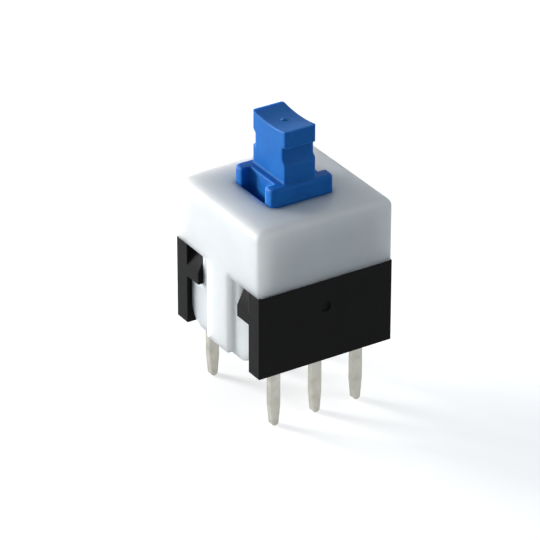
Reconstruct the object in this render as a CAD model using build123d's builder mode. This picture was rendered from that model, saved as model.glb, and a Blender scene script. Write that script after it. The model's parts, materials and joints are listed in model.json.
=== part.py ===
from build123d import *
import os
from math import asin, cos

# A push-on, push-off switch for a circuit board: two poles, six pins, 8 mm square.
# Millimetres, +Z up. The origin is the centre of the base's underside, the face that sits on
# the board. X runs along the two black walls, -Y is the front, and the latch is on the +X side.

# ---- Driving dimensions: housing ----------------------------------------------------------

body_size = 8.0             # side of the square housing
base_height = 4.65          # top of the base's two walls
floor_thickness = 1.0
base_wall = 1.0             # front and back wall of the base
side_wall = 0.9             # the cover's side tongues, and the hooks beside them
cover_wall = 0.75           # front and back wall of the cover
roof_thickness = 1.15
cover_corner_radius = 0.2   # upright corners of the cover
cover_edge_radius = 0.5     # edge round the top of the cover

hook_length = 1.1           # how far a hook stands out from its wall
hook_height = 1.9
hook_upright = 0.65         # height of the hook's plain outer face, below its ramp
hook_ramp_depth = 0.6       # how far the ramp leans in at the top of the base
snap_gap = 0.1              # between hooks and tongue, in plan and in height

tongue_gap = 0.05           # between the tongue's shoulders and the base's walls and floor
tongue_lift = 0.13          # tongue's lower edge above the base's underside
tongue_corner_radius = 1.1
band_width = 2.0            # raised band down the middle of a tongue
wing_recess = 0.25          # the rest of the tongue lies this much further in

gate_diameter = 0.6         # dimple that the moulding gate leaves on the front wall
gate_depth = 0.12
gate_height = 3.1

spigot_diameter = 1.5       # centres the spring on the floor
spigot_height = 0.5

# ---- Driving dimensions: plunger and spring ------------------------------------------------

travel = 2.2                # from rest to full press
press_gap = 0.1             # left under the slider at full press
stop_gap = 0.05             # between slider and roof at rest
hole_gap = 0.05             # between collar and the cover's square hole, each side
rail_gap = 0.05             # between the slider's rails and the side walls

latch_space = 0.6           # between the slider's +X face and the side wall
contact_space = 0.5         # between the slider's front or back face and the terminals
shoulder_x = 0.65           # slider beyond the collar, each side
shoulder_y = 0.45
rail_width = 0.6
rail_inset = 0.3            # rail in from the slider's front or back face

collar_stand = 0.95         # collar above the cover's top
collar_corner_radius = 0.28
collar_top_radius = 0.18
pillar_width = 0.7          # upright pillar at each corner of the collar
collar_groove_depth = 0.54

stem_inset_x = 0.925        # stem in from the collar's faces
stem_inset_y = 0.275
stem_height = 2.95
stem_edge_radius = 0.15
notch_depth = 0.3           # grip notches of the stem's front and back faces
notch_height = 1.0
notch_slope = 0.25
head_height = 0.95          # stem above a notch
dish_depth = 0.16           # hollow of the stem's top

spring_diameter = 2.2       # outside the coils
spring_wire = 0.25
spring_turns = 7.5
bore_gap = 0.2              # round the spring, in the slider's bore
bore_roof = 0.45            # slider above the bore

# ---- Driving dimensions: latch --------------------------------------------------------------

latch_wire = 0.35
latch_bend_radius = 0.3     # at the middle of the wire
lane_clearance = 0.08       # each side of the wire in its track
leg_clearance = 0.05        # at the tips of both legs
pivot_clearance = 0.05      # round the upper leg in the cover
pivot_depth = 0.6           # of the pivot hole in the side wall
pivot_drop = 0.3            # pivot below the roof
latch_over = 0.6            # latch pin longer than the travel
latch_shift = 0.83          # sideways reach of the lower leg at full press
cam_depth = 0.45
cam_sill = 0.445            # slider below the track
heart_height = 1.05         # heart-shaped island, from its point to its horns
heart_notch = 0.6           # depth of the notch between the horns
track_nose = 0.33           # point of the track's upper edge, above the notch

# ---- Driving dimensions: terminals and contacts ----------------------------------------------

pin_edge = 1.5              # outer pins in from the housing's sides
pin_width = 0.6
pin_thickness = 0.4
pin_length = 3.55           # below the base
pin_taper_length = 1.2
pin_tip_width = 0.4
pin_tip_chamfer = 0.1
anchor_width = 1.0          # wider stretch that holds a terminal in the floor
anchor_height = 0.4
pad_margin = 0.2            # plastic beside the closed throw's covered stretch

contact_sheet = 0.12
contact_gap = 0.03          # left between a finger's crown and its terminal
finger_width = 0.5
finger_height = 0.7         # crown above the slider's underside
finger_rise = 0.75          # from the crown up to the bar
finger_drop = 0.5           # from the crown down to the finger's tip
finger_lean = 0.2           # how far the tip leans back from the crown
bar_height = 0.8
overlap_height = 0.4        # terminal beyond a crown's place
peg_diameter = 0.6          # rivets the contact to the slider
peg_height = 0.3
peg_gap = 0.05
peg_place = 1.2

# ---- Sizes worked out from the driving dimensions ---------------------------------------------

half_body = body_size / 2
wall_face = half_body - base_wall            # inner face of a base wall, and the row of pins
side_face = half_body - side_wall            # inner face of hooks, tongues and cover sides
cavity_depth = half_body - cover_wall

slider_bottom = floor_thickness + press_gap + travel
lane_half = latch_wire / 2 + lane_clearance
home_z = slider_bottom + cam_sill + lane_half
latch_length = travel + latch_over
pivot_z = home_z + latch_length
roof_z = pivot_z + pivot_drop
cover_top = roof_z + roof_thickness
slider_top = roof_z - stop_gap

anchor_high = (floor_thickness + anchor_height) / 2
anchor_low = anchor_high - anchor_height

terminal_face = wall_face - pin_thickness / 2
slider_x = side_face - latch_space
slider_y = terminal_face - contact_space
collar_x = slider_x - shoulder_x
collar_y = slider_y - shoulder_y
collar_top = cover_top + collar_stand
groove_face = collar_x - collar_groove_depth
stem_x = collar_x - stem_inset_x
stem_y = collar_y - stem_inset_y
stem_top = collar_top + stem_height

pin_pitch = half_body - pin_edge
crown_z = slider_bottom + finger_height
switch_z = crown_z - travel / 2              # where the crowns are half way through the travel
terminal_top = crown_z + overlap_height
open_gap = 0.4 * travel                      # between the two throws' contact faces

shank_x = (slider_x + side_face) / 2         # middle of the latch pin's upright shank
full_swing = asin(latch_shift / latch_length)
track_top = home_z + travel + latch_length * (1 - cos(full_swing)) + lane_half


def block(low, high, mode=Mode.ADD):
    """Add a box between two opposite corners to the part being built."""
    size = [h - l for l, h in zip(low, high)]
    with Locations(low):
        Box(*size, align=(Align.MIN, Align.MIN, Align.MIN), mode=mode)


# ---- Terminals --------------------------------------------------------------------------------

def terminal_outline(blade_top):
    """Face of a terminal seen from the front: tapered pin, anchor in the floor, then blade."""
    tip = -pin_length
    right = [
        (pin_tip_width / 2 - pin_tip_chamfer, tip),
        (pin_tip_width / 2, tip + pin_tip_chamfer),
        (pin_width / 2, tip + pin_taper_length),
        (pin_width / 2, anchor_low),
        (anchor_width / 2, anchor_low),
        (anchor_width / 2, anchor_high),
        (pin_width / 2, anchor_high),
        (pin_width / 2, blade_top),
    ]
    left = [(-x, z) for x, z in reversed(right)]
    with BuildSketch() as outline:
        with BuildLine():
            Polyline(*right, *left, close=True)
        make_face()
    return outline.sketch


def make_terminal(throw, x, side):
    """Build one terminal of the front (side -1) or back (side 1) row.

    The closed throw is bare only above the middle of the travel and the open throw only below
    it, so a finger that slides down their faces leaves one and meets the other.
    """
    blade_top = switch_z - open_gap / 2 if throw == "open" else terminal_top
    y_low, y_high = sorted((side * terminal_face, side * wall_face))
    with BuildPart() as terminal:
        with BuildSketch(Plane((x, side * wall_face, 0), x_dir=(1, 0, 0), z_dir=(0, -1, 0))):
            add(terminal_outline(blade_top))
        extrude(amount=pin_thickness / 2, both=True)
        if throw == "closed":
            thinned_low = (x - pin_width, y_low, anchor_high)
            thinned_high = (x + pin_width, y_high, switch_z + open_gap / 2)
            block(thinned_low, thinned_high, mode=Mode.SUBTRACT)
    return terminal


rows = {"front": -1, "back": 1}
throws = {"closed": -pin_pitch, "common": 0, "open": pin_pitch}
terminals = {}
for row, side in rows.items():
    for throw, x in throws.items():
        terminals[f"terminal_{row}_{throw}"] = make_terminal(throw, x, side)

# ---- Base ---------------------------------------------------------------------------------------

with BuildPart() as base:
    # Front wall
    block((-half_body, -half_body, 0), (half_body, -wall_face, base_height))
    # Snap hooks: flat underneath, with a ramp that the tongues ride over
    hook_bottom = base_height - hook_height
    with BuildSketch(Plane.XZ.offset(wall_face - hook_length)):
        with BuildLine():
            Polyline(
                (side_face, hook_bottom),
                (half_body, hook_bottom),
                (half_body, hook_bottom + hook_upright),
                (half_body - hook_ramp_depth, base_height),
                (side_face, base_height),
                close=True,
            )
        make_face()
        mirror(about=Plane.YZ)
    extrude(amount=hook_length)
    # Plastic in front of the closed throw's thinned stretch, flush with its contact face
    pad_x = pin_width / 2 + pad_margin
    block(
        (-pin_pitch - pad_x, -wall_face, floor_thickness),
        (-pin_pitch + pad_x, -terminal_face, switch_z + open_gap / 2),
    )
    # Back wall, with its hooks and pad
    mirror(about=Plane.XZ)
    # Floor, narrow enough for the cover's tongues to pass beside it
    floor_x = side_face - tongue_gap
    block((-floor_x, -wall_face, 0), (floor_x, wall_face, floor_thickness))
    # Spigot for the spring
    with Locations((0, 0, floor_thickness)):
        Cylinder(spigot_diameter / 2, spigot_height, align=(Align.CENTER, Align.CENTER, Align.MIN))
    spigot_edge = base.edges().filter_by(GeomType.CIRCLE).sort_by(Axis.Z)[-1]
    chamfer(spigot_edge, length=spigot_height / 4)
    # Gate mark on the front wall
    with BuildSketch(Plane.XZ.offset(half_body)):
        with Locations((0, gate_height)):
            Circle(gate_diameter / 2)
    extrude(amount=-gate_depth, mode=Mode.SUBTRACT)
    # The terminals are moulded in
    for terminal in terminals.values():
        add(terminal.part, mode=Mode.SUBTRACT)

# ---- Cover --------------------------------------------------------------------------------------

with BuildPart() as cover:
    # Cap, rounded at its upright corners and round its top
    block((-half_body, -half_body, base_height), (half_body, half_body, cover_top))
    fillet(cover.faces().sort_by(Axis.Z)[-1].edges(), radius=cover_edge_radius)
    fillet(cover.edges().filter_by(Axis.Z), radius=cover_corner_radius)
    block(
        (-side_face, -cavity_depth, base_height),
        (side_face, cavity_depth, roof_z),
        mode=Mode.SUBTRACT,
    )
    # Tongue: a neck between the hooks, and a wider foot that snaps in under them
    neck_y = wall_face - hook_length - snap_gap
    foot_y = wall_face - tongue_gap
    foot_top = hook_bottom - snap_gap
    with BuildSketch(Plane.YZ.offset(side_face)) as tongue:
        with Locations((0, tongue_lift)):
            Rectangle(2 * foot_y, foot_top - tongue_lift, align=(Align.CENTER, Align.MIN))
        fillet(tongue.vertices().group_by(Axis.Y)[0], radius=tongue_corner_radius)
        with Locations((0, base_height)):
            Rectangle(2 * neck_y, base_height - tongue_lift, align=(Align.CENTER, Align.MAX))
    extrude(amount=side_wall - wing_recess)
    # Raised band down the middle of the tongue
    block(
        (side_face, -band_width / 2, tongue_lift),
        (half_body, band_width / 2, base_height),
    )
    mirror(about=Plane.YZ)
    # Square hole for the plunger's collar
    with BuildSketch(Plane.XY.offset(roof_z)):
        hole_radius = collar_corner_radius + hole_gap
        RectangleRounded(2 * (collar_x + hole_gap), 2 * (collar_y + hole_gap), hole_radius)
    extrude(amount=roof_thickness, mode=Mode.SUBTRACT)
    # Pivot hole for the latch pin
    with BuildSketch(Plane.YZ.offset(side_face)):
        with Locations((0, pivot_z)):
            Circle(latch_wire / 2 + pivot_clearance)
    extrude(amount=pivot_depth, mode=Mode.SUBTRACT)

# ---- Plunger ------------------------------------------------------------------------------------


def cut_track():
    """Cut the heart-shaped track of the latch into the slider's +X face."""
    lean = latch_shift / (track_top - lane_half - home_z)
    edge = lane_half * (1 + lean**2) ** 0.5       # half the lane, measured along Y
    low = home_z - lane_half
    lane_y = latch_shift + edge
    corner_z = home_z + (lane_y - edge) / lean
    point_z = home_z + edge / lean                # island's lower point, where both lanes part
    horn_z = point_z + heart_height
    horn_y = heart_height * lean
    side = [
        (edge + (low - home_z) * lean, low),
        (lane_y, corner_z),
        (lane_y, track_top),
        (latch_shift - edge, track_top),
    ]
    with BuildSketch(Plane.YZ.offset(slider_x)) as track:
        with BuildLine():
            Polyline(*side, (0, track_top - track_nose), *[(-y, z) for y, z in reversed(side)], close=True)
        make_face()
        with BuildLine():
            Polyline((0, point_z), (horn_y, horn_z), (0, horn_z - heart_notch), (-horn_y, horn_z), close=True)
        make_face(mode=Mode.SUBTRACT)
    extrude(track.sketch, amount=-cam_depth, mode=Mode.SUBTRACT)


def cut_notch(side):
    """Cut a grip notch across the stem's front (side -1) or back (side 1) face.

    The front notch slopes out at its lower end and the back one at its upper end.
    """
    top = stem_top - head_height
    bottom = top - notch_height
    face = side * stem_y
    inner = side * (stem_y - notch_depth)
    inner_top = top - notch_slope if side > 0 else top
    inner_bottom = bottom if side > 0 else bottom + notch_slope
    with BuildSketch(Plane.YZ) as notch:
        with BuildLine():
            Polyline((face, top), (inner, inner_top), (inner, inner_bottom), (face, bottom), close=True)
        make_face()
    extrude(notch.sketch, amount=stem_x, both=True, mode=Mode.SUBTRACT)


with BuildPart() as plunger:
    # Collar that slides in the cover's hole
    with BuildSketch(Plane.XY.offset(slider_top)):
        RectangleRounded(2 * collar_x, 2 * collar_y, collar_corner_radius)
    extrude(amount=collar_top - slider_top)
    fillet(plunger.faces().sort_by(Axis.Z)[-1].edges(), radius=collar_top_radius)
    # Grooves that leave a pillar at each corner of the collar
    groove_y = collar_y - pillar_width
    for low_x, high_x in ((-collar_x, -groove_face), (groove_face, collar_x)):
        block((low_x, -groove_y, slider_top), (high_x, groove_y, collar_top), mode=Mode.SUBTRACT)
    # Stem, with a hollow top and a grip notch across its front and back
    block((-stem_x, -stem_y, slider_top), (stem_x, stem_y, stem_top))
    upright_edges = plunger.edges().filter_by(Axis.Z).group_by(Axis.Z)[-1]
    fillet(upright_edges, radius=stem_edge_radius)
    dish_radius = (stem_y**2 + dish_depth**2) / (2 * dish_depth)
    with BuildSketch(Plane.YZ):
        with Locations((0, stem_top - dish_depth + dish_radius)):
            Circle(dish_radius)
    extrude(amount=stem_x, both=True, mode=Mode.SUBTRACT)
    for side in rows.values():
        cut_notch(side)
    # Slider, with a rail near each corner that keeps it square in the housing
    block((-slider_x, -slider_y, slider_bottom), (slider_x, slider_y, slider_top))
    rail_x = side_face - rail_gap
    rail_high = slider_y - rail_inset
    for low_y, high_y in ((-rail_high, rail_width - rail_high), (rail_high - rail_width, rail_high)):
        block((-rail_x, low_y, slider_bottom), (rail_x, high_y, slider_top))
    # Pegs that hold the contacts
    bar_low = crown_z + finger_rise
    peg_z = bar_low + bar_height / 2
    with BuildSketch(Plane.XZ):
        with Locations((-peg_place, peg_z), (peg_place, peg_z)):
            Circle(peg_diameter / 2)
    extrude(amount=slider_y + peg_height, both=True)
    # Bore for the spring
    bore_top = slider_top - bore_roof
    with BuildSketch(Plane.XY.offset(slider_bottom)):
        Circle(spring_diameter / 2 + bore_gap)
    extrude(amount=bore_top - slider_bottom, mode=Mode.SUBTRACT)
    cut_track()

# ---- Moving contacts ------------------------------------------------------------------------------

with BuildPart() as contact_front:
    # Bar that lies on the slider's front face, held by two pegs
    bar_x = pin_pitch + finger_width / 2
    with BuildSketch(Plane.XZ.offset(slider_y)):
        with Locations((0, bar_low)):
            Rectangle(2 * bar_x, bar_height, align=(Align.CENTER, Align.MIN))
        with Locations((-peg_place, peg_z), (peg_place, peg_z)):
            Circle(peg_diameter / 2 + peg_gap, mode=Mode.SUBTRACT)
    extrude(amount=contact_sheet)
    # A bowed finger for each terminal of the row
    bar_y = -slider_y - contact_sheet / 2
    crown_y = -terminal_face + contact_gap + contact_sheet / 2
    with BuildSketch(*[Plane.YZ.offset(x) for x in throws.values()]):
        with BuildLine():
            TangentArc((crown_y, crown_z), (bar_y, bar_low + contact_sheet / 2), tangent=(0, 1))
            TangentArc(
                (crown_y, crown_z),
                (crown_y + finger_lean, crown_z - finger_drop),
                tangent=(0, -1),
            )
        trace(line_width=contact_sheet)
    extrude(amount=finger_width / 2, both=True)

with BuildPart() as contact_back:
    mirror(contact_front.part, about=Plane.XZ)

# ---- Latch pin --------------------------------------------------------------------------------------

with BuildPart() as latch_pin:
    # Upper leg out into the cover, shank down the side, lower leg in to the track
    pivot_tip = side_face + pivot_depth - leg_clearance
    track_tip = slider_x - cam_depth + leg_clearance
    with BuildLine(Plane.XZ) as wire:
        FilletPolyline(
            (pivot_tip, pivot_z),
            (shank_x, pivot_z),
            (shank_x, home_z),
            (track_tip, home_z),
            radius=latch_bend_radius,
        )
    with BuildSketch(Plane(wire.line @ 0, z_dir=wire.line % 0)):
        Circle(latch_wire / 2)
    sweep(path=wire.line)

# ---- Return spring ------------------------------------------------------------------------------------

with BuildPart() as return_spring:
    coil_radius = (spring_diameter - spring_wire) / 2
    coil_low = floor_thickness + spring_wire / 2
    coil_rise = bore_top - floor_thickness - spring_wire
    with BuildLine() as coil:
        Helix(coil_rise / spring_turns, coil_rise, coil_radius, center=(0, 0, coil_low))
    with BuildSketch(Plane(coil.line @ 0, z_dir=coil.line % 0)):
        Circle(spring_wire / 2)
    sweep(path=coil.line, is_frenet=True)

# ---- Output -------------------------------------------------------------------------------------------

pieces = {
    "base": base,
    "cover": cover,
    "plunger": plunger,
    "contact_front": contact_front,
    "contact_back": contact_back,
    "latch_pin": latch_pin,
    "return_spring": return_spring,
    **terminals,
}
os.makedirs("parts", exist_ok=True)
for name, piece in pieces.items():
    piece.part.label = name
    export_step(piece.part, f"parts/{name}.step")
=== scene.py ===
# %% [markdown]
# # A push-on, push-off switch for a circuit board
#
# The switch is 8 mm square: a black base moulded round six terminals, a milky white cover that
# snaps over it, and a blue plunger. Its true sizes and its moving parts are already settled in
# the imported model, so this lesson only gives it its looks: rounded edges, moulded and drawn
# surfaces, soft light and a camera. We load the model first and keep its outer box, because
# nothing that we add may grow past it.

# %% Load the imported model
import json
from math import cos, pi, radians, sin

import bmesh
import bpy
from mathutils import Matrix, Vector
from mathutils.bvhtree import BVHTree

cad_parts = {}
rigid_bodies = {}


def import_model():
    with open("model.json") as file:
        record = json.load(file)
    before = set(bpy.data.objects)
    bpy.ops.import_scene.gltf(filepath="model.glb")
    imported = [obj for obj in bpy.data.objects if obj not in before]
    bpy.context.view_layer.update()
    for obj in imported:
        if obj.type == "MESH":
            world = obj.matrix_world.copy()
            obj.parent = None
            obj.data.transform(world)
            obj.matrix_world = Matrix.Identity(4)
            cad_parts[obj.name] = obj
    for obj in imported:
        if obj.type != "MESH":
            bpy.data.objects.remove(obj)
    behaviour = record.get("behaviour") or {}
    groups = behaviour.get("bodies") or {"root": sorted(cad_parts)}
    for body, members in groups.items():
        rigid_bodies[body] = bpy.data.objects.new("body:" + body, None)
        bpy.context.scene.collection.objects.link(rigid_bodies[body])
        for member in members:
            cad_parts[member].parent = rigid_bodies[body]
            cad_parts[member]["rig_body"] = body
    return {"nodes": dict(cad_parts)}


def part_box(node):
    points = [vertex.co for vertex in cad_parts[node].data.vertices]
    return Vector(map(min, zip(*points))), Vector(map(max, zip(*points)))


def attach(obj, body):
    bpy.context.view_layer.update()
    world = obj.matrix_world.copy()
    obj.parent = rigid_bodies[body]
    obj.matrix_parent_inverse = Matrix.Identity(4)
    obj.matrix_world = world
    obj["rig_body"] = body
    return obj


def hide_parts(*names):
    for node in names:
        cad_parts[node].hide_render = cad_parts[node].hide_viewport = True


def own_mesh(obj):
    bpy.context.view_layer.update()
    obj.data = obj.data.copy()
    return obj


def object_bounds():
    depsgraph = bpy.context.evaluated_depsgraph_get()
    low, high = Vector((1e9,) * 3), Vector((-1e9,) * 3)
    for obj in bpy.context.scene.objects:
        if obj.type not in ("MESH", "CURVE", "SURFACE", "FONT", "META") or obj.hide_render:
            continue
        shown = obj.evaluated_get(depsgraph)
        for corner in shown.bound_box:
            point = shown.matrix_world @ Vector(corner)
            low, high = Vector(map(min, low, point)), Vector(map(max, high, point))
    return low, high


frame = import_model()
cad_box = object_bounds()
MM = 0.001
scene = bpy.context.scene
print("the model has", len(frame["nodes"]), "nodes; box in mm:", [tuple(c / MM) for c in cad_box])

# %% [markdown]
# ## Sizes that we read from the model
#
# A finish often depends on where something is: the floor goes under the terminals' tips, and
# the gate mark goes in the middle of the stem's top.

# %% Read places from the model
floor_z = cad_box[0].z
plunger_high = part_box("plunger")[1]
spring_low, spring_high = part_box("return_spring")
print(f"floor at {floor_z / MM:.2f} mm, stem's top at {plunger_high.z / MM:.2f} mm")

# %% [markdown]
# ## A short way to write node trees
#
# Blender's materials are trees of nodes. Small helpers keep the cells that follow short. The
# first two do the work: `add_node` adds a node and sets its properties, and `feed` links its
# sockets or sets their values by name. The others wrap what nearly every effect needs: a sum, a
# noise, a change of range, a new group and the place on the piece in millimetres.


# %% Helpers for node trees
def add_node(tree, kind, **settings):
    """Add a node and set its properties."""
    node = tree.nodes.new(kind)
    for key, value in settings.items():
        setattr(node, key, value)
    return node


def feed(tree, node, **inputs):
    """Link an output socket, or set a plain value, on each named input of a node.

    An input is written in lower case with _ for its spaces, or as i0, i1 for its place.
    """
    by_name = {s.name.lower().replace(" ", "_"): s for s in node.inputs if s.enabled}
    for key, value in inputs.items():
        socket = node.inputs[int(key[1:])] if key[1:].isdigit() else by_name[key]
        if isinstance(value, bpy.types.NodeSocket):
            tree.links.new(value, socket)
        else:
            socket.default_value = value
    return node


def maths(tree, operation, *values, clamp=False):
    """Add a Math node, fed with numbers or sockets, and give its output."""
    node = add_node(tree, "ShaderNodeMath", operation=operation, use_clamp=clamp)
    feed(tree, node, **{f"i{i}": value for i, value in enumerate(values)})
    return node.outputs[0]


def noise(tree, place, scale, **more):
    """Add a Noise texture at a place and give its 0-to-1 value."""
    node = add_node(tree, "ShaderNodeTexNoise")
    return feed(tree, node, vector=place, scale=scale, **more).outputs[0]


def ramp(tree, value, **limits):
    """Move a value from one range to another; a limit that isn't given stays 0 or 1."""
    node = add_node(tree, "ShaderNodeMapRange")
    return feed(tree, node, value=value, **limits).outputs[0]


def new_group(name, inputs, outputs):
    """Start a shader node group with named sockets; inputs maps a name to its usual value."""
    group = bpy.data.node_groups.new(name, "ShaderNodeTree")
    for socket_name, value in inputs.items():
        kind = "NodeSocketFloat" if isinstance(value, (int, float)) else "NodeSocketVector"
        socket = group.interface.new_socket(socket_name, in_out="INPUT", socket_type=kind)
        socket.default_value = value
    for socket_name, kind in outputs.items():
        group.interface.new_socket(socket_name, in_out="OUTPUT", socket_type=kind)
    return group, group.nodes.new("NodeGroupInput").outputs, group.nodes.new("NodeGroupOutput")


def in_mm(tree, stretch=None):
    """Give the place on the piece in millimetres, stretched along each axis if asked."""
    place = add_node(tree, "ShaderNodeTexCoord").outputs["Object"]
    scaled = add_node(tree, "ShaderNodeVectorMath", operation="SCALE")
    feed(tree, scaled, vector=place, scale=1 / MM)
    if stretch is None:
        return scaled.outputs[0]
    pulled = add_node(tree, "ShaderNodeVectorMath", operation="MULTIPLY")
    feed(tree, pulled, i0=scaled.outputs[0], i1=stretch)
    return pulled.outputs[0]


print("helpers are ready")

# %% [markdown]
# ## Effect 1: the skin that a mould leaves
#
# Moulded plastic copies the steel it was pressed against. A spark-eroded mould leaves a fine,
# even pebble; the plastic's flow leaves broad, faint patches that are a little shinier or paler
# than their neighbours. All three plastics here need this, each at its own scale, so it is a
# node group that gives a height for a Bump node and a slow 0-to-1 tone.

# %% Node group: moulded skin
skin_group, skin_in, skin_out = new_group(
    "moulded_skin",
    {"Grains per mm": 12.0, "Patches per mm": 0.5},
    {"Height": "NodeSocketFloat", "Tone": "NodeSocketFloat"},
)
skin_place = in_mm(skin_group)
pebble = noise(skin_group, skin_place, skin_in["Grains per mm"], detail=3.0, roughness=0.55)
patches = noise(skin_group, skin_place, skin_in["Patches per mm"], detail=2.0, distortion=0.6)
feed(skin_group, skin_out, height=pebble, tone=ramp(skin_group, patches, from_min=0.3, from_max=0.7))
print("moulded_skin puts out", [s.name for s in skin_out.inputs if s.name])

# %% [markdown]
# ## Effect 2: worn and rounded edges
#
# No real edge is knife sharp, and handling rubs the edges first. The Bevel node gives the
# normal that a slightly rounded edge would have. Where it differs from the true normal, there
# is an edge, so one minus their dot product is a mask for wear. Noise breaks the mask up,
# because wear is never an even line.

# %% Node group: worn edges
WEAR_GAIN = 8.0
edge_group, edge_in, edge_out = new_group(
    "worn_edges",
    {"Radius mm": 0.08, "Wear": 1.0, "Breaks per mm": 3.0},
    {"Mask": "NodeSocketFloat", "Normal": "NodeSocketVector"},
)
rounded = add_node(edge_group, "ShaderNodeBevel", samples=6)
feed(edge_group, rounded, radius=maths(edge_group, "MULTIPLY", edge_in["Radius mm"], MM))
sharp = add_node(edge_group, "ShaderNodeNewGeometry").outputs["Normal"]
agree = add_node(edge_group, "ShaderNodeVectorMath", operation="DOT_PRODUCT")
feed(edge_group, agree, i0=rounded.outputs[0], i1=sharp)
turned = maths(edge_group, "SUBTRACT", 1.0, agree.outputs["Value"])
breaks = noise(edge_group, in_mm(edge_group), edge_in["Breaks per mm"], detail=4.0)
broken = maths(edge_group, "MULTIPLY", turned, maths(edge_group, "MULTIPLY", breaks, WEAR_GAIN))
mask = maths(edge_group, "MULTIPLY", broken, edge_in["Wear"], clamp=True)
feed(edge_group, edge_out, mask=mask, normal=rounded.outputs[0])
print("worn_edges puts out", [s.name for s in edge_out.inputs if s.name])

# %% [markdown]
# ## Effect 3: handling marks
#
# Switches travel loose in a bag, so their flat faces carry a few hair-fine rubs. Noise that is
# stretched a lot along one direction makes streaks, and keeping only its highest values leaves
# a few thin ones. Two sets that cross at an angle look accidental instead of brushed. Each set
# has its own turn, in radians, and its own number of streaks per millimetre along each axis.

# %% Node group: handling marks
RUB_AXIS = (0.4, 1.0, 0.6)
RUB_SETS = ((0.5, (9.0, 9.0, 0.7)), (-0.9, (1.1, 12.0, 12.0)))
rub_group, rub_in, rub_out = new_group(
    "handling_marks",
    {"Amount": 0.5},
    {"Mask": "NodeSocketFloat"},
)
rub_masks = []
for turn, stretch in RUB_SETS:
    turned_place = add_node(rub_group, "ShaderNodeVectorRotate", rotation_type="AXIS_ANGLE")
    feed(rub_group, turned_place, vector=in_mm(rub_group), axis=RUB_AXIS, angle=turn)
    pulled = add_node(rub_group, "ShaderNodeVectorMath", operation="MULTIPLY")
    feed(rub_group, pulled, i0=turned_place.outputs[0], i1=stretch)
    streaks = noise(rub_group, pulled.outputs[0], 1.0, detail=2.0)
    rub_masks.append(ramp(rub_group, streaks, from_min=0.66, from_max=0.74))
both = maths(rub_group, "MAXIMUM", *rub_masks)
feed(rub_group, rub_out, mask=maths(rub_group, "MULTIPLY", both, rub_in["Amount"], clamp=True))
print("handling_marks mixes", len(rub_masks), "sets of streaks")

# %% [markdown]
# ## Effect 4: the grain of rolled and drawn metal
#
# Strip for terminals is rolled and spring wire is drawn through a die, and both leave fine
# lines along the metal. Noise with its coordinates pulled far apart across the lines, and left
# alone along them, gives that grain. The three metals use it, each with its own direction.

# %% Node group: drawn grain
BLOTCHES_PER_MM = 1.6
grain_group, grain_in, grain_out = new_group(
    "drawn_grain",
    {"Lines per mm": (40.0, 40.0, 2.0)},
    {"Height": "NodeSocketFloat", "Tone": "NodeSocketFloat"},
)
lines = noise(grain_group, in_mm(grain_group, grain_in["Lines per mm"]), 1.0, detail=3.0)
blotches = noise(grain_group, in_mm(grain_group), BLOTCHES_PER_MM, detail=3.0, distortion=0.4)
feed(grain_group, grain_out, height=lines, tone=ramp(grain_group, blotches, from_min=0.35, from_max=0.65))
print("drawn_grain puts out", [s.name for s in grain_out.inputs if s.name])

# %% [markdown]
# ## Putting an effect into a material
#
# Each material places the groups that it needs and keeps its own Principled shader. These
# helpers start a material, place a group with this material's values, mix two colours by a
# mask, and turn a height into a normal.


# %% Helpers for materials
def new_material(name, **constants):
    """Start a material and set the constants of its Principled shader."""
    material = bpy.data.materials.new(name)
    material.use_nodes = True
    shader = material.node_tree.nodes["Principled BSDF"]
    feed(material.node_tree, shader, **constants)
    return material, material.node_tree, shader


def place_group(tree, group, **values):
    """Place a node group in a material and give its outputs."""
    node = add_node(tree, "ShaderNodeGroup", node_tree=group)
    return feed(tree, node, **values).outputs


def colour(red, green, blue):
    """Turn a colour as it is seen, 0 to 255, into the linear values that Blender uses."""
    seen = [c / 255 for c in (red, green, blue)]
    linear = [c / 12.92 if c < 0.04 else ((c + 0.055) / 1.055) ** 2.4 for c in seen]
    return (*linear, 1.0)


def mix_colours(tree, mask, first, second):
    """Mix two colours, or sockets, by a mask and give the colour."""
    node = add_node(tree, "ShaderNodeMix", data_type="RGBA")
    return feed(tree, node, i0=mask, i6=first, i7=second).outputs[2]


def between(tree, mask, low, high):
    """Spread a 0-to-1 mask between two numbers."""
    return ramp(tree, mask, to_min=low, to_max=high)


def bumped(tree, height, depth_mm, normal=None):
    """Turn a 0-to-1 height into a normal, with a relief of depth_mm."""
    node = add_node(tree, "ShaderNodeBump")
    feed(tree, node, height=height, distance=depth_mm * MM, strength=1.0)
    if normal is not None:
        feed(tree, node, normal=normal)
    return node.outputs[0]


print("colour(128, 128, 128) is", [round(c, 3) for c in colour(128, 128, 128)])

# %% [markdown]
# ## The cover's milky plastic
#
# The cover is natural, undyed plastic, and its walls are 0.75 to 0.9 mm thick. Light goes in,
# scatters and comes out a millimetre or two away, so a lit face glows into the shaded one
# beside it and nothing looks hard. That is subsurface scattering, and its scale is a true
# length: here 2.6 mm, more than a wall's thickness, so some light is lost into the hollow, and
# red goes furthest. Broad flow patches, faint rubs and a fine pebble keep it from looking like
# a computer's white.

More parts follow.
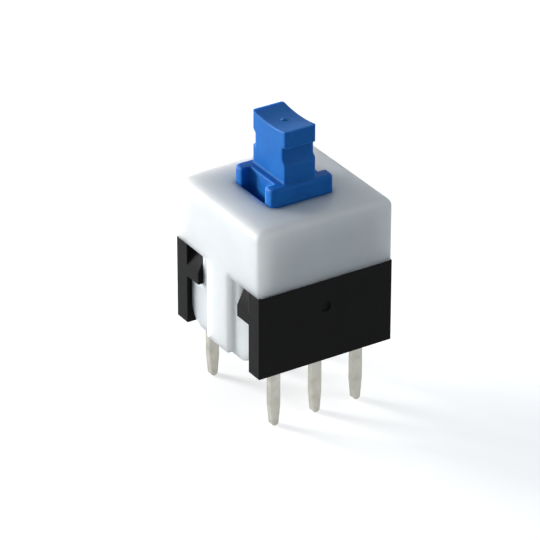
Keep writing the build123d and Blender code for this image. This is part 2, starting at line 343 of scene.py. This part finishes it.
# %% Material: milky cover plastic
cover_plastic, tree, shader = new_material(
    "milky_cover_plastic",
    subsurface_weight=1.0,
    subsurface_radius=(1.0, 0.9, 0.85),
    subsurface_scale=2.6 * MM,
    ior=1.49,
    specular_ior_level=0.5,
)
skin = place_group(tree, skin_group, grains_per_mm=14.0, patches_per_mm=0.35)
edge = place_group(tree, edge_group, radius_mm=0.4, wear=0.2, breaks_per_mm=2.0)
rubs = place_group(tree, rub_group, amount=0.5)
body_colour = mix_colours(tree, skin["Tone"], colour(238, 239, 237), colour(244, 245, 244))
rubbed = mix_colours(tree, rubs["Mask"], body_colour, colour(247, 248, 248))
feed(tree, shader, base_color=mix_colours(tree, edge["Mask"], rubbed, colour(249, 249, 248)))
feed(tree, shader, roughness=between(tree, skin["Tone"], 0.36, 0.44))
feed(tree, shader, normal=bumped(tree, skin["Height"], 0.004, edge["Normal"]))
print(cover_plastic.name, "scatters over", shader.inputs["Subsurface Scale"].default_value / MM, "mm")

# %% [markdown]
# ## The base's black plastic
#
# The base has to survive soldering, so it is a black nylon or polyester filled with glass
# fibre. The fibres come up to the skin as a fine, dull grain with tiny pale flecks, and edges
# rub to a dark grey. A black this deep shows mostly its reflections, so its roughness matters
# more than its colour.

# %% Material: black base plastic
base_plastic, tree, shader = new_material(
    "black_glass_filled_plastic",
    ior=1.5,
    specular_ior_level=0.08,
)
skin = place_group(tree, skin_group, grains_per_mm=18.0, patches_per_mm=0.6)
edge = place_group(tree, edge_group, radius_mm=0.06, wear=0.7, breaks_per_mm=5.0)
rubs = place_group(tree, rub_group, amount=0.35)
flecks = add_node(tree, "ShaderNodeTexVoronoi")
feed(tree, flecks, vector=in_mm(tree, (9.0, 9.0, 22.0)), scale=1.0)
fleck_mask = ramp(tree, flecks.outputs["Distance"], from_min=0.16, from_max=0.04, to_max=0.5)
black = mix_colours(tree, skin["Tone"], colour(9, 9, 10), colour(13, 13, 14))
flecked = mix_colours(tree, fleck_mask, black, colour(30, 30, 32))
rubbed = mix_colours(tree, rubs["Mask"], flecked, colour(36, 36, 38))
feed(tree, shader, base_color=mix_colours(tree, edge["Mask"], rubbed, colour(50, 50, 52)))
feed(tree, shader, roughness=between(tree, skin["Tone"], 0.46, 0.58))
feed(tree, shader, normal=bumped(tree, skin["Height"], 0.005, edge["Normal"]))
print(base_plastic.name, "has", len(tree.nodes), "nodes")

# %% [markdown]
# ## The plunger's blue plastic
#
# The plunger slides thousands of times, so it is acetal: slippery, waxy and slightly
# translucent, dyed a strong blue right through. A short scattering length softens its small
# edges, and the rubbed edges show paler blue, not white, because the dye goes all the way.

# %% Material: blue plunger plastic
plunger_plastic, tree, shader = new_material(
    "blue_acetal",
    subsurface_weight=0.6,
    subsurface_radius=(0.4, 0.6, 1.0),
    subsurface_scale=0.5 * MM,
    ior=1.48,
    specular_ior_level=0.1,
)
skin = place_group(tree, skin_group, grains_per_mm=12.0, patches_per_mm=0.8)
edge = place_group(tree, edge_group, radius_mm=0.2, wear=0.3, breaks_per_mm=3.0)
rubs = place_group(tree, rub_group, amount=0.5)
blue = mix_colours(tree, skin["Tone"], colour(26, 105, 186), colour(32, 113, 193))
rubbed = mix_colours(tree, rubs["Mask"], blue, colour(54, 134, 204))
feed(tree, shader, base_color=mix_colours(tree, edge["Mask"], rubbed, colour(66, 146, 212)))
feed(tree, shader, roughness=between(tree, skin["Tone"], 0.4, 0.52))
feed(tree, shader, normal=bumped(tree, skin["Height"], 0.005, edge["Normal"]))
print(plunger_plastic.name, "is dyed through")

# %% [markdown]
# ## The terminals' plated strip
#
# The terminals are stamped from brass strip and plated with tin or silver. The rolled faces
# have fine lines along the pin and soft grey blotches where the plating has dulled, and along
# the sheared edges a little of the warm brass shows through.

# %% Material: plated terminal strip
terminal_metal, tree, shader = new_material("plated_brass_strip", metallic=1.0)
grain = place_group(tree, grain_group, lines_per_mm=(26.0, 26.0, 1.2))
edge = place_group(tree, edge_group, radius_mm=0.035, wear=0.6, breaks_per_mm=5.0)
rubs = place_group(tree, rub_group, amount=0.6)
plating = mix_colours(tree, grain["Tone"], colour(178, 176, 166), colour(192, 190, 181))
dulled = mix_colours(tree, rubs["Mask"], plating, colour(168, 164, 153))
feed(tree, shader, base_color=mix_colours(tree, edge["Mask"], dulled, colour(196, 184, 152)))
feed(tree, shader, roughness=between(tree, grain["Tone"], 0.26, 0.4))
feed(tree, shader, normal=bumped(tree, grain["Height"], 0.004, edge["Normal"]))
print(terminal_metal.name, "has lines along Z")

# %% [markdown]
# ## The contacts' bronze
#
# The moving contacts are stamped from phosphor bronze strip, a springy warm metal, with silver
# where their fingers rub the terminals. They share the grain effect, with its lines along the
# strip. The silver is placed by height: only the fingers' crowns have it, and its edge fades
# over a tenth of a millimetre, as a dipped coat does.

# %% Material: phosphor bronze contacts
CROWN_SHARE = 0.45
SILVER_FADE_MM = 0.05
contact_metal, tree, shader = new_material("silvered_phosphor_bronze", metallic=1.0)
grain = place_group(tree, grain_group, lines_per_mm=(2.0, 30.0, 30.0))
edge = place_group(tree, edge_group, radius_mm=0.025, wear=0.5, breaks_per_mm=6.0)
bronze = mix_colours(tree, grain["Tone"], colour(196, 142, 92), colour(214, 164, 112))
height = add_node(tree, "ShaderNodeSeparateXYZ")
feed(tree, height, vector=in_mm(tree))
contact_low, contact_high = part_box("contact_front")
crown_top_mm = (contact_low.z + CROWN_SHARE * (contact_high.z - contact_low.z)) / MM
fade_from, fade_to = crown_top_mm + SILVER_FADE_MM, crown_top_mm - SILVER_FADE_MM
silvered = ramp(tree, height.outputs["Z"], from_min=fade_from, from_max=fade_to)
plated = mix_colours(tree, silvered, bronze, colour(226, 225, 220))
feed(tree, shader, base_color=mix_colours(tree, edge["Mask"], plated, colour(226, 186, 140)))
feed(tree, shader, roughness=between(tree, grain["Tone"], 0.22, 0.36))
feed(tree, shader, normal=bumped(tree, grain["Height"], 0.003, edge["Normal"]))
print(contact_metal.name, f"is silvered below {crown_top_mm:.2f} mm")

# %% [markdown]
# ## The wire's stainless steel
#
# The latch pin and the return spring are stainless wire that was drawn through a die. It leaves
# a fine grey surface with a soft shine. The coil's wire runs nearly level, so the grain's lines
# are packed closest in height, and a few brighter rubs show where the wire slid past others.

# %% Material: drawn stainless wire
spring_steel, tree, shader = new_material("drawn_stainless_wire", metallic=1.0)
grain = place_group(tree, grain_group, lines_per_mm=(9.0, 9.0, 30.0))
rubs = place_group(tree, rub_group, amount=0.5)
steel = mix_colours(tree, grain["Tone"], colour(158, 160, 162), colour(188, 190, 191))
feed(tree, shader, base_color=mix_colours(tree, rubs["Mask"], steel, colour(210, 211, 212)))
feed(tree, shader, roughness=between(tree, grain["Tone"], 0.24, 0.38))
feed(tree, shader, normal=bumped(tree, grain["Height"], 0.003))
print(spring_steel.name, "is ready")

# %% [markdown]
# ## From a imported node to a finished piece
#
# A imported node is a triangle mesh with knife-sharp edges. It has the right shape, so the piece
# starts as a copy of it. Flat faces first become single polygons again, by dissolving every
# edge that doesn't bend. Then a Bevel modifier rounds what is left, which a real mould or die
# does too, and weighted normals keep the flat faces flat in the shading. The bevel only cuts
# material away, so the piece stays inside its node's box.

# %% Helpers: an object, and a copy with rounded edges
WELD = 0.0005 * MM
FLAT_WITHIN = radians(0.5)


def add_object(name, data):
    """Put a mesh, a lamp or a camera into the scene."""
    thing = bpy.data.objects.new(name, data)
    scene.collection.objects.link(thing)
    return thing


def finished_copy(node, name, bevel_mm, material, sharp_degrees=30.0):
    """Stand a cleaned copy of a node, with rounded edges, in its place."""
    mesh = bpy.data.meshes.new(name)
    work = bmesh.new()
    work.from_mesh(frame["nodes"][node].data)
    bmesh.ops.remove_doubles(work, verts=work.verts, dist=WELD)
    bmesh.ops.dissolve_limit(work, angle_limit=FLAT_WITHIN, verts=work.verts, edges=work.edges)
    for face in work.faces:
        face.smooth = True
    work.to_mesh(mesh)
    work.free()
    piece = add_object(name, mesh)
    mesh.materials.append(material)
    bevel = piece.modifiers.new("rounded edges", "BEVEL")
    bevel.width = bevel_mm * MM
    bevel.segments = 3
    bevel.limit_method = "ANGLE"
    bevel.angle_limit = radians(sharp_degrees)
    bevel.miter_outer = "MITER_ARC"
    normals = piece.modifiers.new("flat faces stay flat", "WEIGHTED_NORMAL")
    normals.keep_sharp = True
    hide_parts(node)
    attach(piece, frame["nodes"][node]["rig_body"])
    return piece


print("finished_copy rounds the edges of any node")

# %% [markdown]
# ## The cover
#
# The cover is one moulding: a cap with a square hole, and two tongues that snap under the
# base's hooks. Its big rounds belong to the model. Here its hole and its tongues get the small
# radius that a mould maker would cut.

# %% Piece: cover
cover = finished_copy("cover", "cover_shell", 0.1, cover_plastic)
print(cover.name, len(cover.data.polygons), "faces before its bevel")

# %% [markdown]
# ## The base
#
# The base is moulded round the terminals. Its corners are crisper than the cover's, because
# glass-filled plastic shrinks little and its mould is simple, so the bevel is small.

# %% Piece: base
base = finished_copy("base", "base_moulding", 0.04, base_plastic)
print(base.name, len(base.data.polygons), "faces before its bevel")

# %% [markdown]
# ## The plunger
#
# The plunger's stem takes a push-on cap, so it has grip notches and a hollow top. It is one
# moulding with its collar and its slider. Acetal shrinks a lot and its mould is polished, so its
# edges come out rounder than the base's, and its bevel is wider.

# %% Piece: plunger
plunger = finished_copy("plunger", "plunger_button", 0.09, plunger_plastic)
print(plunger.name, len(plunger.data.polygons), "faces before its bevel")

# %% [markdown]
# ## The gate nub
#
# The plunger's mould was filled through the stem's hollow top, and the little nub where the
# plastic was torn off its runner is still there. It is a small closed dome, made with a spin of
# a quarter circle. A ray cast down on the stem finds the bottom of the hollow, and the nub sinks
# in a little there so that no gap can show under its rim.

# %% Piece: gate nub
NUB_RADIUS = 0.2 * MM
NUB_HEIGHT = 0.08 * MM
NUB_SINK = 0.02 * MM


def dome(name, centre, radius, height, rings=5, sides=20):
    """Make a closed dome that stands on a disc, with the disc's middle at the centre."""
    work = bmesh.new()
    angles = [pi / 2 * ring / rings for ring in range(rings + 1)]
    profile = [work.verts.new((radius * cos(a), 0, height * sin(a))) for a in angles]
    for first, second in zip(profile, profile[1:]):
        work.edges.new((first, second))
    bmesh.ops.spin(
        work,
        geom=work.edges[:],
        cent=(0, 0, 0),
        axis=(0, 0, 1),
        angle=2 * pi,
        steps=sides,
        use_merge=True,
    )
    bmesh.ops.remove_doubles(work, verts=work.verts, dist=WELD)
    bmesh.ops.holes_fill(work, edges=[e for e in work.edges if e.is_boundary], sides=sides)
    bmesh.ops.recalc_face_normals(work, faces=work.faces)
    for face in work.faces:
        face.smooth = len(face.verts) <= 4
    mesh = bpy.data.meshes.new(name)
    work.to_mesh(mesh)
    work.free()
    mesh.transform(Matrix.Translation(centre))
    return add_object(name, mesh)


above_stem = Vector((0, 0, plunger_high.z + MM))
packed = frame["nodes"]["plunger"].data
plunger_skin = BVHTree.FromPolygons([v.co for v in packed.vertices], [f.vertices for f in packed.polygons])
hollow_bottom = plunger_skin.ray_cast(above_stem, Vector((0, 0, -1)))[0]
nub = dome("gate_nub", hollow_bottom - Vector((0, 0, NUB_SINK)), NUB_RADIUS, NUB_HEIGHT)
nub.data.materials.append(plunger_plastic)
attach(nub, "button")
print(f"the nub stands at {hollow_bottom.z / MM:.2f} mm, {len(nub.data.polygons)} faces")

# %% [markdown]
# ## The terminals
#
# Six terminals are stamped from strip. A blunt die rounds one side's edges and tears the other,
# so all their edges get a small radius. They are alike, so a loop finishes them.

# %% Pieces: terminals
for node in sorted(n for n in frame["nodes"] if n.startswith("terminal_")):
    finished_copy(node, node.replace("terminal", "pin"), 0.03, terminal_metal)

# %% [markdown]
# ## The contacts and the latch pin
#
# These are hidden in the closed switch, but they show when it is taken apart or cut away. The
# contacts' sheet is thin, so its bevel is smaller still. The latch pin is round wire already,
# and only its cut ends are broken.

# %% Pieces: contacts and latch pin
for node in ("contact_front", "contact_back"):
    finished_copy(node, node.replace("contact", "moving_contact"), 0.012, contact_metal)
finished_copy("latch_pin", "latch_wire", 0.03, spring_steel, sharp_degrees=60.0)
print("hidden metal pieces are finished")

# %% [markdown]
# ## The return spring
#
# A compression spring has closed ends: its first and last turns lie flat against each other, so
# that it stands straight and pushes evenly. A helix with one even pitch can't show that, so the
# spring is swept again. We walk along it in small steps: an end turn rises by one thickness of
# the wire, and the steps between share the height that is left. It rides on the housing.

# %% Piece: return spring
WIRE_RADIUS = 0.125 * MM
WIRE_SIDES = 10
STEPS_PER_TURN = 28
ACTIVE_TURNS = 6.5
CLOSED_TURNS = 1.0
coil_radius = (spring_high.x - spring_low.x) / 2 - WIRE_RADIUS


def coil_points():
    """Walk along the coil; the end turns rise by one wire, the others share what is left."""
    steps = round((ACTIVE_TURNS + 2 * CLOSED_TURNS) * STEPS_PER_TURN)
    closed = round(CLOSED_TURNS * STEPS_PER_TURN)
    bottom, top = spring_low.z + WIRE_RADIUS, spring_high.z - WIRE_RADIUS
    flat_rise = 2 * WIRE_RADIUS / STEPS_PER_TURN
    open_rise = (top - bottom - 2 * closed * flat_rise) / (steps - 2 * closed)
    z = bottom
    points = []
    for step in range(steps + 1):
        angle = 2 * pi * step / STEPS_PER_TURN
        points.append(Vector((coil_radius * cos(angle), coil_radius * sin(angle), z)))
        z += flat_rise if step < closed or step >= steps - closed else open_rise
    return points


def sweep_wire(name, points, radius):
    """Sweep a round wire along points, with closed ends."""
    work = bmesh.new()
    rings = []
    for i, point in enumerate(points):
        along = (points[min(i + 1, len(points) - 1)] - points[max(i - 1, 0)]).normalized()
        outward = Vector((point.x, point.y, 0)).normalized()
        up = along.cross(outward).normalized()
        ring = []
        for side in range(WIRE_SIDES):
            angle = 2 * pi * side / WIRE_SIDES
            ring.append(work.verts.new(point + radius * (cos(angle) * outward + sin(angle) * up)))
        rings.append(ring)
    for first, second in zip(rings, rings[1:]):
        for side in range(WIRE_SIDES):
            after = (side + 1) % WIRE_SIDES
            work.faces.new((first[side], first[after], second[after], second[side]))
    work.faces.new(rings[0])
    work.faces.new(list(reversed(rings[-1])))
    bmesh.ops.recalc_face_normals(work, faces=work.faces)
    for face in work.faces:
        face.smooth = len(face.verts) == 4
    mesh = bpy.data.meshes.new(name)
    work.to_mesh(mesh)
    work.free()
    return mesh


spring = add_object("coil_spring", sweep_wire("coil_spring", coil_points(), WIRE_RADIUS))
spring.data.materials.append(spring_steel)
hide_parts("return_spring")
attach(spring, "housing")
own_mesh(spring)

# %% [markdown]
# ## The floor
#
# The switch stands on its terminals on a plain pale floor. A white floor that is lit enough to
# look white would throw too much light back, so the camera sees a little extra brightness that
# the lighting doesn't: Light Path tells camera, mirror and glass rays apart from the rest. The
# shadow stays, because the extra is added to the floor's own shading.

# %% Floor
FLOOR_RADIUS = 900 * MM
FLOOR_GLOW = 0.62
MOTTLES_PER_MM = 0.15


def seen_directly(tree):
    """1 for rays that show a surface to the camera, straight or in metal or glass, else 0."""
    path = add_node(tree, "ShaderNodeLightPath").outputs
    mirrored = maths(tree, "MAXIMUM", path["Is Glossy Ray"], path["Is Transmission Ray"])
    return maths(tree, "MAXIMUM", path["Is Camera Ray"], mirrored)


floor_mesh = bpy.data.meshes.new("floor")
work = bmesh.new()
bmesh.ops.create_circle(work, cap_ends=True, segments=64, radius=FLOOR_RADIUS)
work.to_mesh(floor_mesh)
work.free()
floor = add_object("floor", floor_mesh)
floor.location.z = floor_z
floor_paper, tree, shader = new_material("pale_paper", roughness=0.9, specular_ior_level=0.1)
mottle = noise(tree, in_mm(tree), MOTTLES_PER_MM, detail=3.0)
paper = mix_colours(tree, mottle, colour(232, 232, 232), colour(236, 236, 236))
feed(tree, shader, base_color=paper)
glow = add_node(tree, "ShaderNodeEmission")
feed(tree, glow, strength=maths(tree, "MULTIPLY", seen_directly(tree), FLOOR_GLOW))
total = add_node(tree, "ShaderNodeAddShader")
feed(tree, total, i0=shader.outputs[0], i1=glow.outputs[0])
tree.links.new(total.outputs[0], tree.nodes["Material Output"].inputs["Surface"])
floor_mesh.materials.append(floor_paper)
print("floor lies at the terminals' tips")

# %% [markdown]
# ## Light
#
# One soft lamp stands low, behind and to the left. It lights the cover's left side fully,
# grazes its top, and leaves the front to what the floor and the room give back, which is how
# the three visible faces come apart. A faint wide lamp at the front right opens the black
# base a little. The room itself is dim and even, and a touch cool, like daylight on a ceiling.
#
# A lamp's power in watts says little by itself. What matters is how bright it makes a white
# surface that faces it, so the helper takes that level and works the watts out: a lamp of P
# watts at distance d gives a level of P / (pi * d) ** 2.

# %% Lamps and room
LAMPS_AIM_AT = Vector((0, 0, 4)) * MM
ROOM_TINT = (0.72, 0.88, 1.0, 1.0)
ROOM_LEVEL = 0.21
WHITE = (1.0, 1.0, 1.0, 1.0)


def direction(azimuth, elevation):
    """Point away from the object; azimuth 0 is in front of it and 90 to its right."""
    a, e = radians(azimuth), radians(elevation)
    return Vector((sin(a) * cos(e), -cos(a) * cos(e), sin(e)))


def softbox(name, azimuth, elevation, distance, size, level):
    """Stand a square lamp in a direction from the object and turn it to face the object."""
    lamp = bpy.data.lights.new(name, "AREA")
    lamp.size = size
    lamp.energy = level * (pi * distance) ** 2
    holder = add_object(name, lamp)
    towards = direction(azimuth, elevation)
    holder.location = LAMPS_AIM_AT + distance * towards
    holder.rotation_mode = "QUATERNION"
    holder.rotation_quaternion = towards.to_track_quat("Z", "Y")


softbox("key_lamp", azimuth=-147, elevation=9.5, distance=0.3, size=0.11, level=1.58)
softbox("front_fill", azimuth=42, elevation=46, distance=0.4, size=0.2, level=0.16)

room = bpy.data.worlds.new("room")
scene.world = room
room.use_nodes = True
tree = room.node_tree
background = tree.nodes["Background"]
seen = seen_directly(tree)
feed(tree, background, color=mix_colours(tree, seen, ROOM_TINT, WHITE))
feed(tree, background, strength=between(tree, seen, ROOM_LEVEL, 1.0))

# %% [markdown]
# ## Camera
#
# A long lens from about 20 cm away keeps the switch's upright edges nearly parallel, as small
# parts are usually shown. The camera looks at a point near the switch's middle, from the front
# left and above. The Standard view transform shows colours as they are written.

# %% Camera and view
CAMERA_AZIMUTH = -32.12
CAMERA_ELEVATION = 28.76
CAMERA_ROLL = 0.06
CAMERA_DISTANCE = 198.5 * MM
CAMERA_AIM = Vector((0, 1.33, 2.73)) * MM
LENS_MM = 255.66
SENSOR_MM = 36
NEAREST = 10 * MM
lens = bpy.data.cameras.new("camera")
lens.lens = LENS_MM
lens.sensor_width = SENSOR_MM
lens.clip_start = NEAREST
camera = add_object("camera", lens)
back = direction(CAMERA_AZIMUTH, CAMERA_ELEVATION)
right = Vector((0, 0, 1)).cross(back).normalized()
up = back.cross(right)
turned = Matrix((right, up, back)).transposed().to_4x4() @ Matrix.Rotation(radians(CAMERA_ROLL), 4, "Z")
camera.matrix_world = Matrix.Translation(CAMERA_AIM + CAMERA_DISTANCE * back) @ turned
scene.camera = camera
scene.view_settings.view_transform = "Standard"
print("camera at", [round(c / MM, 1) for c in camera.location], "mm")
